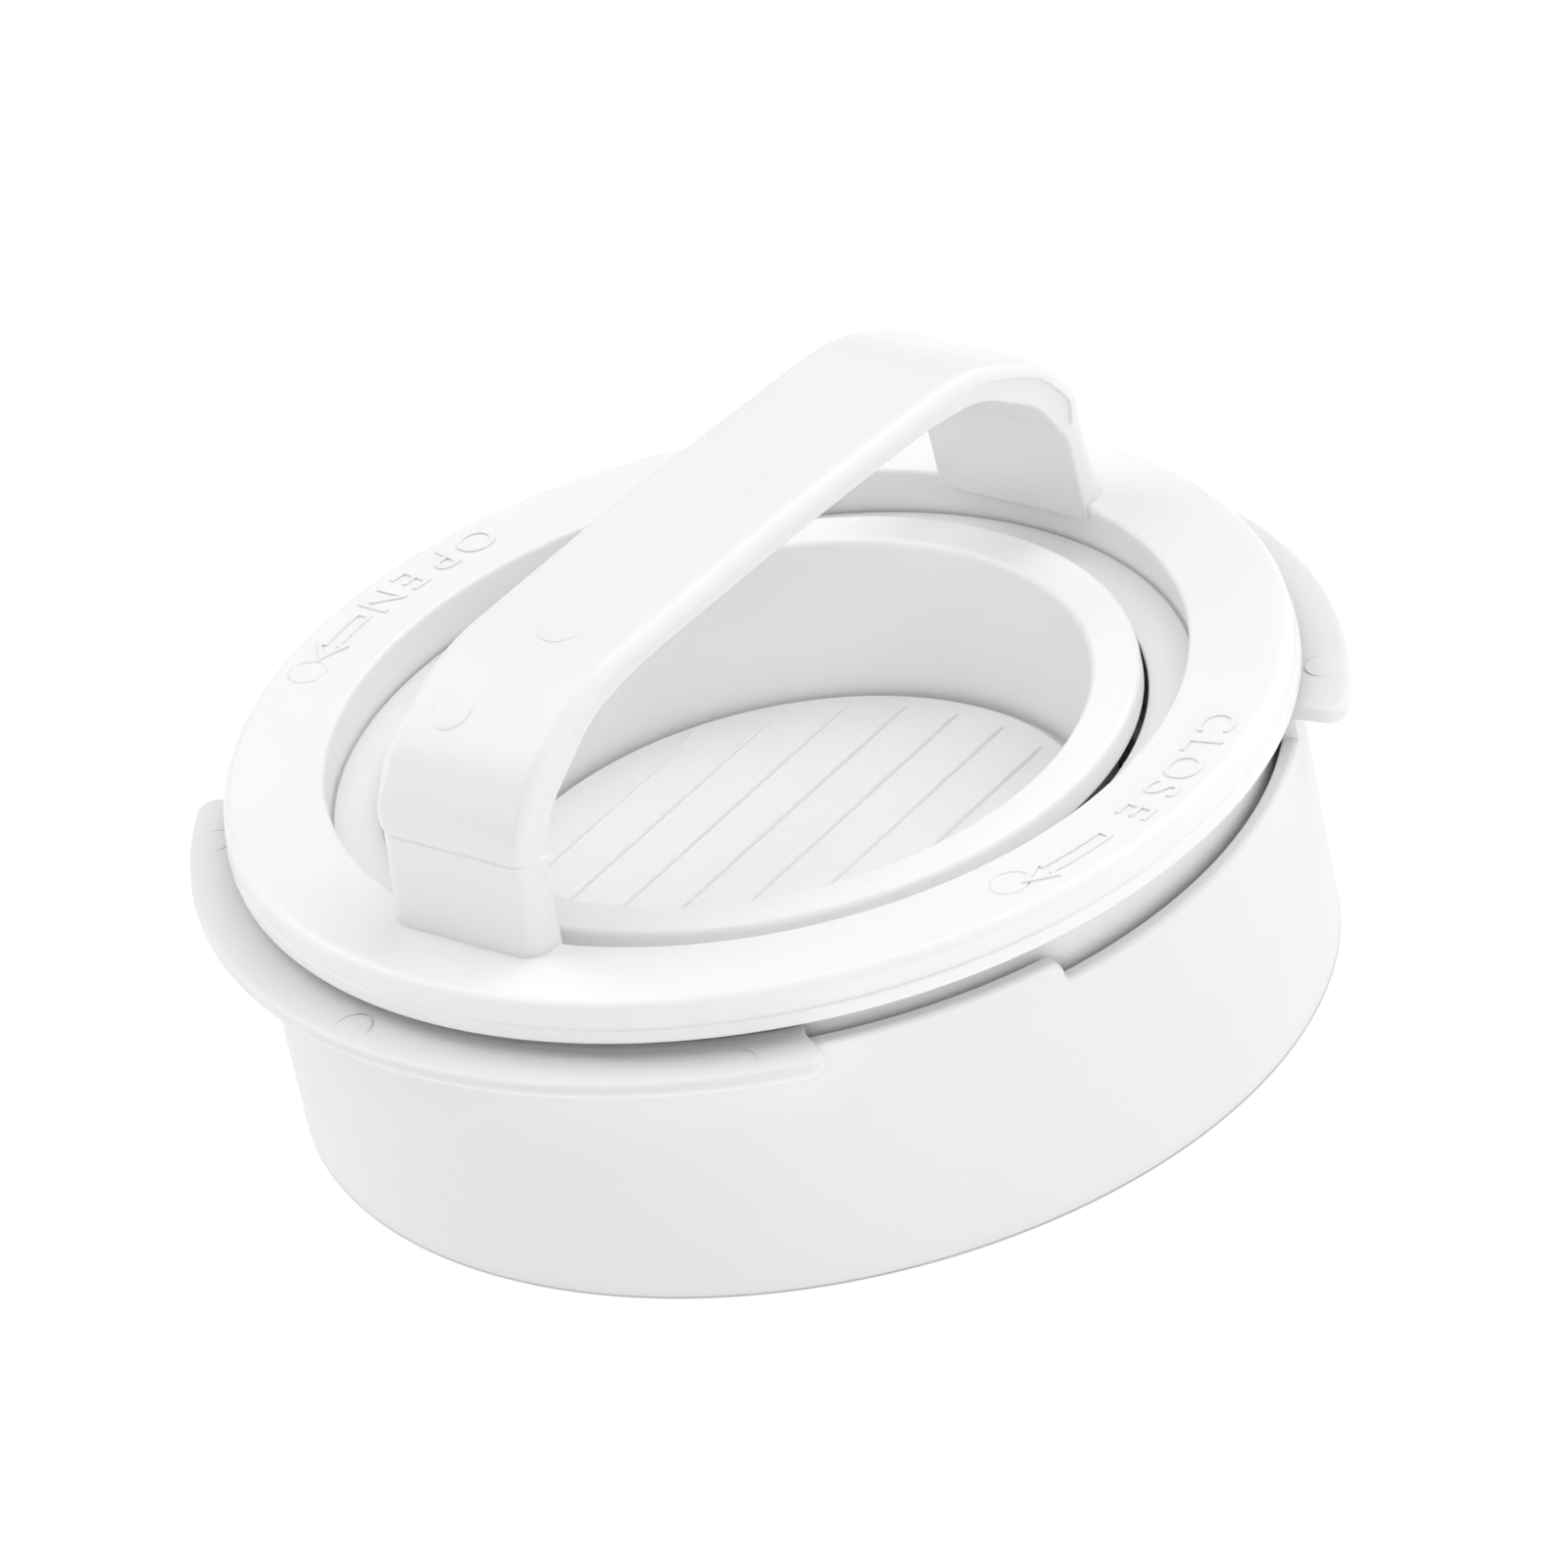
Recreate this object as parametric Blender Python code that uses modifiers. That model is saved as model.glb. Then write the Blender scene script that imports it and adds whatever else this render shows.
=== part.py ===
"""Household patty press: base mould, lift-out plate, press drum, twist ring, strap handle and stuffing cup.

Metres, +Z up. The origin is the centre of the base's bottom ring, +X runs through the
middle of one grip wing, and every round piece turns about the Z axis.
"""
import math

import bmesh
import bpy
from mathutils import Matrix

MM = 0.001
ROUND_STEPS = 72          # segments in a full turn
ARC_STEP_DEG = 5.0        # a part turn uses about one segment for this angle
CUT_OVERRUN_DEG = 2.0     # neighbouring cutters share this much of a turn
WELD = 0.00001            # merge distance, metres
GAP = 0.3                 # space between pieces that touch, mm
OVERLAP = 1.0             # how far a joined shape sinks into its neighbour, or a cutter stands clear, mm
SHARP_DEG = 30            # faces meeting at more than this keep a sharp edge

# Base mould (radii and heights in mm above the base's bottom)
BASE_R_BOTTOM = 63.5
BASE_R_TOP = 63.8
BASE_WALL = 2.1
BASE_TOP = 34.9           # wall height behind the wings
LIP_TOP = 33.1            # high part of the open rim
RIM_TOP = 30.1            # low part of the open rim, where the drum is pushed from
LEDGE_R = 57.0            # inner edge of the ledge that carries the plate
LEDGE_TOP = 1.8
WING_HALF_DEG = 52.0
LIP_HALF_GAP_DEG = 10.7   # the low rim starts this far past the Y axis, on the lip's side
WING_R = 70.4
WING_TOP = 34.9
WING_DROP = 0.4           # the wing's top falls by this towards its edge
WING_BOTTOM = 32.4
WING_CHAMFER = 0.7

# Lift-out plate
PLATE_R = 60.7
PLATE_BOTTOM = LEDGE_TOP + GAP
PLATE_TOP = 4.8
PLATE_ROUND = 0.5

# Press drum
DRUM_R = 60.6
DRUM_TAPER = 0.2          # the wall is this much narrower at the pressing face
DRUM_WALL = 2.2
DRUM_TOP = 39.5
PRESS_FACE = 16.4
DRUM_HOLE_R = 41.8
TUBE_R = 43.2             # inner radius of the tube that guides the cup
TUBE_WALL = 2.0
TUBE_TOP = 24.8
LUG_REACH_R = 56.2
LUG_BOTTOM = 36.7
LUG_TOP = 38.7

# Twist ring
RING_R = 65.0
RING_BOTTOM = 36.7
RING_TOP = 42.1
RING_WALL = 2.2
RING_WALL_BOTTOM = 37.4   # the inner wall stops here, above a groove over the floor
RING_INNER_R_BOTTOM = 52.6
RING_GROOVE_R = 54.2
RING_SOCKET_R = 55.4      # outer face of the ring's inner wall
RING_EDGE_ROUND = 1.8
RING_INNER_CHAMFER = 0.9
RING_INNER_R = 52.2
RING_HOLE_R = 47.2
RING_FLOOR_TOP = 36.3
RING_FLOOR = 2.2
TAB_R = 57.6
TAB_BOTTOM = 34.5
TAB_TOP = 36.3
BAYONET_COUNT = 4
BAYONET_HALF_DEG = 12.0
BAYONET_START_DEG = 76.5  # keeps the lugs clear of the handle sockets through the twist

# Strap handle (t runs along the handle from the centre, mm)
HANDLE_TURN_DEG = 8.2
HANDLE_WIDTH = 23.0
HANDLE_EDGE_ROUND = 1.6
HANDLE_BEVEL_DEG = 60      # only corners sharper than this are rounded
HANDLE_ARC_STEP_DEG = 8.0
HANDLE_FOOT_Z = RING_TOP + GAP
HANDLE_TOP = 70.6
# (t, z, corner radius) of the right half, foot to crown
HANDLE_OUTER = [(55.6, HANDLE_FOOT_Z, 0.0), (54.0, 57.5, 8.0), (48.6, 64.3, 12.0), (37.0, 69.8, 26.0),
                (0.0, HANDLE_TOP, 0.0)]
HANDLE_INNER = [(50.7, HANDLE_FOOT_Z, 0.0), (50.2, 52.3, 6.0), (46.8, 58.5, 9.0), (37.2, 65.0, 14.0),
                (27.0, 66.5, 60.0), (0.0, 66.8, 0.0)]
PLUG_DEPTH = 3.6
PLUG_T = (54.2, 55.5)     # inner and outer face of the plug under each foot
PLUG_WIDTH = 15.0

# Stuffing cup
CUP_RIM_R = 46.0
CUP_RIM_BOTTOM = 36.2
CUP_RIM_TOP = 39.7
CUP_MOUTH_R = 40.0
CUP_FLOOR_R = 38.6
CUP_FLOOR_TOP = 18.9
CUP_BOTTOM = 16.6
CUP_OUTER_R_BOTTOM = 40.2
CUP_OUTER_R_TOP = 41.9
CUP_CROWN_HALF = 1.9      # half width of the rim's flat crown
CUP_RIM_EDGE = ((0.5, 0.3), (0.0, 1.2))     # (in from the rim's radius, down from its top)
CUP_MOUTH_EDGE = ((0.0, 1.2), (0.4, 0.4))   # (out from the mouth's radius, down from the rim's top)
CUP_BASE_CHAMFER = 0.6
CUP_GROOVE = 1.1           # width of the groove round the floor
CUP_GROOVE_DEPTH = 1.1
RIB_TURN_DEG = 11.0
RIB_PITCH = 7.3
RIB_COUNT = 9
RIB_WIDTH = 1.0
RIB_HEIGHT = 0.6
RIB_SINK = 0.5
RIB_END_SPACE = 3.4


def new_collection(name):
    collection = bpy.data.collections.new(name)
    bpy.context.scene.collection.children.link(collection)
    return collection


def plastic(name, shade, roughness):
    material = bpy.data.materials.new(name)
    material.use_nodes = True
    shader = material.node_tree.nodes["Principled BSDF"]
    shader.inputs["Base Color"].default_value = (shade, shade, shade, 1.0)
    shader.inputs["Roughness"].default_value = roughness
    shader.inputs["Metallic"].default_value = 0.0
    return material


def add_object(name, bm, collection, material=None):
    mesh = bpy.data.meshes.new(name)
    bm.to_mesh(mesh)
    bm.free()
    obj = bpy.data.objects.new(name, mesh)
    collection.objects.link(obj)
    if material:
        mesh.materials.append(material)
    return obj


def turned(name, profile, collection, material):
    """A full turn of a closed (radius, z) outline, given down its outer side first."""
    bm = bmesh.new()
    verts = [bm.verts.new((r * MM, 0.0, z * MM)) for r, z in profile]
    for start, end in zip(verts, verts[1:] + verts[:1]):
        bm.edges.new((start, end))
    obj = add_object(name, bm, collection, material)
    screw = obj.modifiers.new("Turn", "SCREW")
    screw.axis = "Z"
    screw.angle = math.tau
    screw.steps = ROUND_STEPS
    screw.render_steps = ROUND_STEPS
    screw.use_merge_vertices = True
    screw.merge_threshold = WELD
    screw.use_smooth_shade = True
    return obj


def disc_profile(radius, bottom, top, rounding):
    return [(0.0, top), (radius - rounding, top), (radius, top - rounding),
            (radius, bottom + rounding), (radius - rounding, bottom), (0.0, bottom)]


def sector(name, profile, start_deg, end_deg, collection):
    """A closed solid: a (radius, z) outline swept about Z between two angles."""
    bm = bmesh.new()
    verts = [bm.verts.new((r * MM, 0.0, z * MM)) for r, z in profile]
    face = bm.faces.new(verts)
    bmesh.ops.rotate(bm, verts=verts, matrix=Matrix.Rotation(math.radians(start_deg), 3, "Z"))
    sweep = end_deg - start_deg
    bmesh.ops.spin(bm, geom=[face] + face.edges[:] + verts, cent=(0, 0, 0), axis=(0, 0, 1),
                   angle=math.radians(sweep), steps=max(2, round(sweep / ARC_STEP_DEG)), use_duplicate=False)
    bmesh.ops.recalc_face_normals(bm, faces=bm.faces)
    return add_object(name, bm, collection)


def block(name, low, high, turn_deg, collection):
    """A box between two corners in mm, turned about Z."""
    bm = bmesh.new()
    bmesh.ops.create_cube(bm, size=1.0)
    size = [(b - a) * MM for a, b in zip(low, high)]
    middle = [(a + b) / 2 * MM for a, b in zip(low, high)]
    bmesh.ops.scale(bm, vec=size, verts=bm.verts)
    bmesh.ops.translate(bm, vec=middle, verts=bm.verts)
    obj = add_object(name, bm, collection)
    obj.rotation_euler.z = math.radians(turn_deg)
    return obj


def combine(target, tool, operation):
    tool.hide_render = True
    tool.display_type = "WIRE"
    boolean = target.modifiers.new(tool.name, "BOOLEAN")
    boolean.operation = operation
    boolean.solver = "EXACT"
    boolean.object = tool


def smooth_by_angle(obj):
    """Bake the modifiers, then shade smooth except across real corners."""
    depsgraph = bpy.context.evaluated_depsgraph_get()
    mesh = bpy.data.meshes.new_from_object(obj.evaluated_get(depsgraph))
    obj.modifiers.clear()
    obj.data = mesh
    mesh.shade_smooth()
    mesh.set_sharp_from_angle(angle=math.radians(SHARP_DEG))


def filleted(points):
    """Swap each corner (x, y, radius) of an open outline for a short arc."""
    outline = []
    for index, (x, y, radius) in enumerate(points):
        if radius == 0.0 or index in (0, len(points) - 1):
            outline.append((x, y))
            continue
        before = points[index - 1]
        after = points[index + 1]
        in_angle = math.atan2(before[1] - y, before[0] - x)
        out_angle = math.atan2(after[1] - y, after[0] - x)
        turn = math.remainder(out_angle - in_angle, math.tau)
        setback = radius / math.tan(abs(turn) / 2)
        middle_angle = in_angle + turn / 2
        reach = radius / math.sin(abs(turn) / 2)
        centre = (x + reach * math.cos(middle_angle), y + reach * math.sin(middle_angle))
        first = (x + setback * math.cos(in_angle), y + setback * math.sin(in_angle))
        start = math.atan2(first[1] - centre[1], first[0] - centre[0])
        sweep = -math.copysign(math.pi - abs(turn), turn)
        steps = max(2, round(math.degrees(abs(sweep)) / HANDLE_ARC_STEP_DEG))
        for step in range(steps + 1):
            angle = start + sweep * step / steps
            outline.append((centre[0] + radius * math.cos(angle), centre[1] + radius * math.sin(angle)))
    return outline


def build_base(parts, tools, material):
    profile = [(BASE_R_TOP, BASE_TOP), (BASE_R_BOTTOM, 0.0), (LEDGE_R, 0.0), (LEDGE_R, LEDGE_TOP),
               (BASE_R_BOTTOM - BASE_WALL, LEDGE_TOP), (BASE_R_TOP - BASE_WALL, BASE_TOP)]
    base = turned("base_shell", profile, parts, material)
    inside = BASE_R_BOTTOM - BASE_WALL - OVERLAP
    outside = BASE_R_TOP + OVERLAP
    above = BASE_TOP + OVERLAP
    root = BASE_R_TOP - OVERLAP
    edge_top = WING_TOP - WING_DROP
    bevel = WING_CHAMFER
    wing = [(root, WING_TOP), (RING_R, WING_TOP), (WING_R - bevel, edge_top), (WING_R, edge_top - bevel),
            (WING_R, WING_BOTTOM + bevel), (WING_R - bevel, WING_BOTTOM), (root, WING_BOTTOM)]
    for turn in (0.0, 180.0):
        edge = turn + WING_HALF_DEG
        low_start = turn + 90.0 - LIP_HALF_GAP_DEG
        low_end = turn + 180.0 - WING_HALF_DEG
        lip_cut = [(outside, above), (outside, LIP_TOP), (inside, LIP_TOP), (inside, above)]
        over = above + OVERLAP
        rim_cut = [(outside, over), (outside, RIM_TOP), (inside, RIM_TOP), (inside, over)]
        lip_end = low_start + CUT_OVERRUN_DEG
        combine(base, sector(f"lip_cut_{turn:.0f}", lip_cut, edge, lip_end, tools), "DIFFERENCE")
        combine(base, sector(f"rim_cut_{turn:.0f}", rim_cut, low_start, low_end, tools), "DIFFERENCE")
        combine(base, sector(f"wing_{turn:.0f}", wing, turn - WING_HALF_DEG, edge, tools), "UNION")
    smooth_by_angle(base)


def build_plate(parts, material):
    plate = turned("base_plate", disc_profile(PLATE_R, PLATE_BOTTOM, PLATE_TOP, PLATE_ROUND), parts, material)
    smooth_by_angle(plate)


def build_drum(parts, tools, material):
    face_top = PRESS_FACE + DRUM_WALL
    tube_out = TUBE_R + TUBE_WALL
    profile = [(DRUM_R, DRUM_TOP), (DRUM_R - DRUM_TAPER, PRESS_FACE), (DRUM_HOLE_R, PRESS_FACE),
               (DRUM_HOLE_R, face_top), (TUBE_R, face_top), (TUBE_R, TUBE_TOP), (tube_out, TUBE_TOP),
               (tube_out, face_top), (DRUM_R - DRUM_WALL, face_top), (DRUM_R - DRUM_WALL, DRUM_TOP)]
    drum = turned("press_drum", profile, parts, material)
    root = DRUM_R - DRUM_WALL / 2
    lug = [(root, LUG_TOP), (root, LUG_BOTTOM), (LUG_REACH_R, LUG_BOTTOM), (LUG_REACH_R, LUG_TOP)]
    for index in range(BAYONET_COUNT):
        middle = BAYONET_START_DEG + index * 360.0 / BAYONET_COUNT
        tool = sector(f"lug_{index}", lug, middle - BAYONET_HALF_DEG, middle + BAYONET_HALF_DEG, tools)
        combine(drum, tool, "UNION")
    smooth_by_angle(drum)


def pocket(side, grow, name, tools):
    """The box of one handle plug, or of its pocket when grown; side is +1 or -1 along the handle."""
    near, far = sorted((side * (PLUG_T[0] - grow), side * (PLUG_T[1] + grow)))
    half = PLUG_WIDTH / 2 + grow
    bottom = RING_TOP - PLUG_DEPTH - grow
    return block(name, (near, -half, bottom), (far, half, HANDLE_FOOT_Z + OVERLAP), HANDLE_TURN_DEG, tools)


def build_ring(parts, tools, material):
    wall_r = RING_SOCKET_R
    edge = RING_EDGE_ROUND
    mid_edge = edge * (1.0 - math.cos(math.radians(45)))
    bevel = RING_INNER_CHAMFER
    under = RING_TOP - RING_WALL
    profile = [(RING_R - edge, RING_TOP), (RING_R - mid_edge, RING_TOP - mid_edge), (RING_R, RING_TOP - edge),
               (RING_R, RING_BOTTOM), (RING_R - RING_WALL, RING_BOTTOM), (RING_R - RING_WALL, under),
               (wall_r, under), (wall_r, RING_FLOOR_TOP - RING_FLOOR),
               (RING_HOLE_R, RING_FLOOR_TOP - RING_FLOOR), (RING_HOLE_R, RING_FLOOR_TOP),
               (RING_GROOVE_R, RING_FLOOR_TOP), (RING_GROOVE_R, RING_WALL_BOTTOM),
               (RING_INNER_R_BOTTOM, RING_WALL_BOTTOM), (RING_INNER_R, RING_TOP - bevel),
               (RING_INNER_R + bevel, RING_TOP)]
    ring = turned("twist_ring", profile, parts, material)
    root = (RING_GROOVE_R + wall_r) / 2
    tab = [(TAB_R, TAB_TOP), (TAB_R, TAB_BOTTOM), (root, TAB_BOTTOM), (root, TAB_TOP)]
    for index in range(BAYONET_COUNT):
        middle = BAYONET_START_DEG + index * 360.0 / BAYONET_COUNT
        tool = sector(f"tab_{index}", tab, middle - BAYONET_HALF_DEG, middle + BAYONET_HALF_DEG, tools)
        combine(ring, tool, "UNION")
    for side in (1, -1):
        # A socket under the ring's top carries each plug of the handle, with walls on every side.
        shell = pocket(side, RING_WALL / 2 + GAP, f"socket_{side}", tools)
        trim_low = (-RING_R, -RING_R, RING_TOP - OVERLAP)
        trim = block(f"socket_trim_{side}", trim_low, (RING_R, RING_R, HANDLE_TOP), 0.0, tools)
        combine(shell, trim, "DIFFERENCE")
        combine(ring, shell, "UNION")
        combine(ring, pocket(side, GAP, f"pocket_{side}", tools), "DIFFERENCE")
    smooth_by_angle(ring)


def build_handle(parts, tools, material):
    outer = filleted(HANDLE_OUTER)
    inner = filleted(HANDLE_INNER)
    mirrored_outer = [(-t, z) for t, z in outer[:-1]]
    mirrored_inner = [(-t, z) for t, z in inner[:-1]]
    outline = outer[::-1] + inner + mirrored_inner[::-1] + mirrored_outer
    bm = bmesh.new()
    side_y = -HANDLE_WIDTH / 2 * MM
    face = bm.faces.new([bm.verts.new((t * MM, side_y, z * MM)) for t, z in outline])
    swept = bmesh.ops.extrude_face_region(bm, geom=[face])
    moved = [v for v in swept["geom"] if isinstance(v, bmesh.types.BMVert)]
    bmesh.ops.translate(bm, vec=(0.0, HANDLE_WIDTH * MM, 0.0), verts=moved)
    bmesh.ops.recalc_face_normals(bm, faces=bm.faces)
    handle = add_object("strap_handle", bm, parts, material)
    handle.rotation_euler.z = math.radians(HANDLE_TURN_DEG)
    bevel = handle.modifiers.new("Rounded edges", "BEVEL")
    bevel.width = HANDLE_EDGE_ROUND * MM
    bevel.segments = 2
    bevel.limit_method = "ANGLE"
    bevel.angle_limit = math.radians(HANDLE_BEVEL_DEG)
    for side in (1, -1):
        combine(handle, pocket(side, 0.0, f"plug_{side}", tools), "UNION")
    smooth_by_angle(handle)


def build_cup(parts, tools, material):
    rim_mid = (CUP_RIM_R + CUP_MOUTH_R) / 2
    crown_out = rim_mid + CUP_CROWN_HALF
    crown_in = rim_mid - CUP_CROWN_HALF
    base_bevel = CUP_BASE_CHAMFER
    groove_bottom = CUP_FLOOR_TOP - CUP_GROOVE_DEPTH
    rim_edge = [(CUP_RIM_R - inward, CUP_RIM_TOP - down) for inward, down in CUP_RIM_EDGE]
    mouth_edge = [(CUP_MOUTH_R + outward, CUP_RIM_TOP - down) for outward, down in CUP_MOUTH_EDGE]
    profile = [(crown_out, CUP_RIM_TOP), *rim_edge,
               (CUP_RIM_R, CUP_RIM_BOTTOM), (CUP_OUTER_R_TOP, CUP_RIM_BOTTOM),
               (CUP_OUTER_R_BOTTOM, CUP_BOTTOM + base_bevel), (CUP_OUTER_R_BOTTOM - base_bevel, CUP_BOTTOM),
               (0.0, CUP_BOTTOM), (0.0, CUP_FLOOR_TOP), (CUP_FLOOR_R - CUP_GROOVE, CUP_FLOOR_TOP),
               (CUP_FLOOR_R - CUP_GROOVE, groove_bottom), (CUP_FLOOR_R, groove_bottom),
               *mouth_edge, (crown_in, CUP_RIM_TOP)]
    cup = turned("stuffing_cup", profile, parts, material)
    for index in range(RIB_COUNT):
        offset = (index - RIB_COUNT // 2) * RIB_PITCH
        half_length = math.sqrt(CUP_FLOOR_R ** 2 - offset ** 2) - RIB_END_SPACE
        low = (-half_length, offset - RIB_WIDTH / 2, CUP_FLOOR_TOP - RIB_SINK)
        high = (half_length, offset + RIB_WIDTH / 2, CUP_FLOOR_TOP + RIB_HEIGHT)
        combine(cup, block(f"rib_{index}", low, high, RIB_TURN_DEG, tools), "UNION")
    smooth_by_angle(cup)


def main():
    for obj in list(bpy.data.objects):
        bpy.data.objects.remove(obj, do_unlink=True)
    parts = new_collection("patty_press")
    tools = new_collection("cutters")
    build_base(parts, tools, plastic("base_white", 0.90, 0.38))
    build_plate(parts, plastic("plate_white", 0.88, 0.42))
    build_drum(parts, tools, plastic("drum_white", 0.88, 0.40))
    build_ring(parts, tools, plastic("ring_white", 0.91, 0.36))
    build_handle(parts, tools, plastic("handle_white", 0.90, 0.36))
    build_cup(parts, tools, plastic("cup_white", 0.91, 0.36))


main()
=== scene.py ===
"""White moulded patty press on a pale studio floor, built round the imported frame."""
import math

import bmesh
import bpy
from mathutils import Matrix, Vector


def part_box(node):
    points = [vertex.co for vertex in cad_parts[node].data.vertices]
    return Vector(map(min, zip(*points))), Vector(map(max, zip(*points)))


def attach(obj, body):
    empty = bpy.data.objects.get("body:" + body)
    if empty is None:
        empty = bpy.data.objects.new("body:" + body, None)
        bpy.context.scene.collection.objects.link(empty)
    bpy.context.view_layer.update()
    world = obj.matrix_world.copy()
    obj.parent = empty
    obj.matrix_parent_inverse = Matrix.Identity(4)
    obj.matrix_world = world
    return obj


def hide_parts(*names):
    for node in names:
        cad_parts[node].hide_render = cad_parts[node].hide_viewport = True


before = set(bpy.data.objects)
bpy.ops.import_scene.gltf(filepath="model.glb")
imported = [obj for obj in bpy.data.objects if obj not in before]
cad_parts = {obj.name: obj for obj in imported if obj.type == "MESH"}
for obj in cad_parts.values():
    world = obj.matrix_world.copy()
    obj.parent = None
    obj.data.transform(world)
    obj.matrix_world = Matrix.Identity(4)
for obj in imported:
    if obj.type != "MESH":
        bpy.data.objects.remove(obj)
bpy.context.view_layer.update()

MM = 0.001
TURN_STEPS = 360          # segments in a full turn of a fine piece
ARC_STEP_DEG = 9.0        # segments in the rounding of an outline's corner
STRAP_ARC_STEP_DEG = 2.0
STRAP_CORNER_STEPS = 8    # the same in every section, so that the sections join point to point
SHARP_DEG = 38.0


def corners_mm(node):
    low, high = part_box(node)
    return low / MM, high / MM


# ---- Sizes read from the frame, in mm ----
BASE_HIGH = corners_mm("base_shell")[1]
PLATE_LOW, PLATE_HIGH = corners_mm("base_plate")
DRUM_LOW, DRUM_HIGH = corners_mm("press_drum")
RING_HIGH = corners_mm("twist_ring")[1]
CUP_LOW, CUP_HIGH = corners_mm("stuffing_cup")
WING_R = BASE_HIGH.x
WALL_R_TOP = BASE_HIGH.y
PLATE_R = PLATE_HIGH.x
DRUM_R = DRUM_HIGH.x
RING_R = RING_HIGH.x
RING_TOP = RING_HIGH.z
CUP_R = CUP_HIGH.x
CUP_TOP = CUP_HIGH.z
HANDLE_TOP = corners_mm("strap_handle")[1].z
PRESS_FACE = DRUM_LOW.z

# ---- Base mould, mm ----
WALL_R_BOTTOM = WALL_R_TOP - 0.3
WALL = 2.1
WALL_TOP = BASE_HIGH.z
LIP_TOP = 33.1
RIM_TOP = 30.1
LEDGE_R = 57.0
LEDGE_TOP = 1.8
WING_ROOT_DEG = 50.8      # half angle of a wing at the wall
WING_TIP_DEG = 53.2       # half angle at its outer edge
WING_TIP_ROUND = 2.2
WING_SINK = 1.1           # how far a wing reaches into the wall
WING_BOTTOM = 32.4
WING_EDGE = 1.0           # rounding of its upper and lower edges
WING_SLOPE = 0.08         # fall of its top for each mm outside the twist ring
LOW_RIM_START_DEG = 79.3

# ---- Grooves left by ejector pins, on the wings and on the twist ring ----
PIN_RING_R = 2.35
PIN_GROOVE_HALF = 0.2
PIN_GROOVE_DEPTH = 0.22
PIN_DEG = (-43.7, 0.0, 43.7)
PIN_REACH = 67.2
# (angle, radius) of the ones on the ring
RING_PINS = [(113.4, 59.8), (-102.3, 58.3)]

# ---- Press drum, mm ----
DRUM_WALL = 2.2
DRUM_DRAFT = 0.2
PRESS_HOLE_R = 41.8
GUIDE_R = 43.2            # outside of the guide tube round the hole
GUIDE_WALL = 2.0
GUIDE_TOP = 24.8
LUG_R = 56.2
LUG_BOTTOM = 36.7
LUG_TOP = 38.7

# ---- Twist ring, mm ----
RING_BOTTOM = 36.7
RING_WALL = 2.2
RING_INNER_R = 52.2
RING_INNER_ROUND = 0.6
RING_INNER_R_BOTTOM = 52.6
RING_GROOVE = 0.35         # width and depth of the groove where the inner wall meets the floor
RING_SOCKET_R = 55.4
RING_HOLE_R = CUP_R + 0.35
RING_FLOOR_TOP = 36.0
RING_FLOOR = 2.2
RING_LEDGE = 2.0          # height of the thin ledge round the ring's side
BAYONET_COUNT = 4
BAYONET_START_DEG = 76.5
BAYONET_HALF_DEG = 12.0
TAB_R = 57.6
TAB_BOTTOM = 34.5
TAB_TOP = 36.3

# ---- Raised words and arrows on the ring ----
LABEL_R = 59.5
LABEL_HEIGHT = 4.9
LABEL_RAISE = 0.24
LABEL_STROKE = 0.5
LABEL_SINK = 0.2
CAP_HEIGHT = 0.73         # height of a capital in a font of size 1
ARROW_SHAFT = 1.15        # half widths of the arrow's shaft and head
ARROW_HEAD = 2.3
ARROW_STEPS = 12
# (letters, angle of the first, angle between letters); with a negative angle the tops point outward
WORDS = [("OPEN", 82.3, 5.0), ("CLOSE", -65.0, -4.7)]
# (start of the tail, start of the head, tip) in degrees
ARROWS = [(100.6, 107.3, 110.8), (-89.0, -97.6, -101.4)]

# ---- Strap handle, mm; t runs along the strap from the centre ----
HANDLE_TURN_DEG = 8.2
HANDLE_WIDTH = 23.0
HANDLE_FOOT = RING_TOP - 1.1
HANDLE_STEP = 0.65        # spacing of the sections
CREASE_Z = 53.9           # where the flat foot meets the bent strap
CREASE_BULGE = 0.22
CREASE_HALF = 0.22
CREASE_DEPTH = 0.15
CREASE_REACH = 1.4        # the sections stand closer within this distance of the crease
CREASE_STEP = 0.09
FOOT_EDGE = 2.9           # rounding of the long outer edges at the foot
CROWN_EDGE = 1.8          # and above the crease
FOOT_INSET = 0.03         # how far the side steps in under the rounded edge at the foot
CROWN_INSET = 0.4
# (t, z, corner radius) of the right half, foot to crown
HANDLE_OUTER = [
    (55.7, HANDLE_FOOT, 0.0), (54.0, 57.5, 10.0), (48.6, 64.3, 14.0), (37.0, 69.8, 26.0),
    (0.0, HANDLE_TOP, 0.0),
]
HANDLE_INNER = [
    (50.7, HANDLE_FOOT - 2.0, 0.0), (50.2, 52.3, 7.0), (46.8, 58.5, 10.0), (37.2, 65.0, 15.0),
    (27.0, 66.5, 60.0), (0.0, 66.8, 0.0),
]
# (t, w, lift) of the round marks on the strap's outer face
HANDLE_PINS = [(-44.1, 4.5, 0.12), (-29.5, -1.0, 0.08), (32.3, 4.0, 0.08), (39.3, -5.0, 0.08)]
HANDLE_PIN_R = 2.75
HANDLE_PIN_TILT = 0.025
HANDLE_PIN_SINK = 0.6

# ---- Stuffing cup, mm ----
CUP_RIM_BOTTOM = 36.2
CUP_CREST_R = 43.2
CUP_MOUTH_R = 40.0
CUP_FLOOR_R = 38.6
CUP_FLOOR_TOP = 18.9
CUP_GROOVE = 1.1
CUP_OUTER_R_TOP = 41.9
CUP_OUTER_R_BOTTOM = 40.2
RIB_TURN_DEG = 11.0
RIB_PITCH = 7.3
RIB_COUNT = 9
RIB_WIDTH = 0.6
RIB_HEIGHT = 0.42
RIB_SINK = 0.5
RIB_END_SPACE = 3.4

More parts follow.
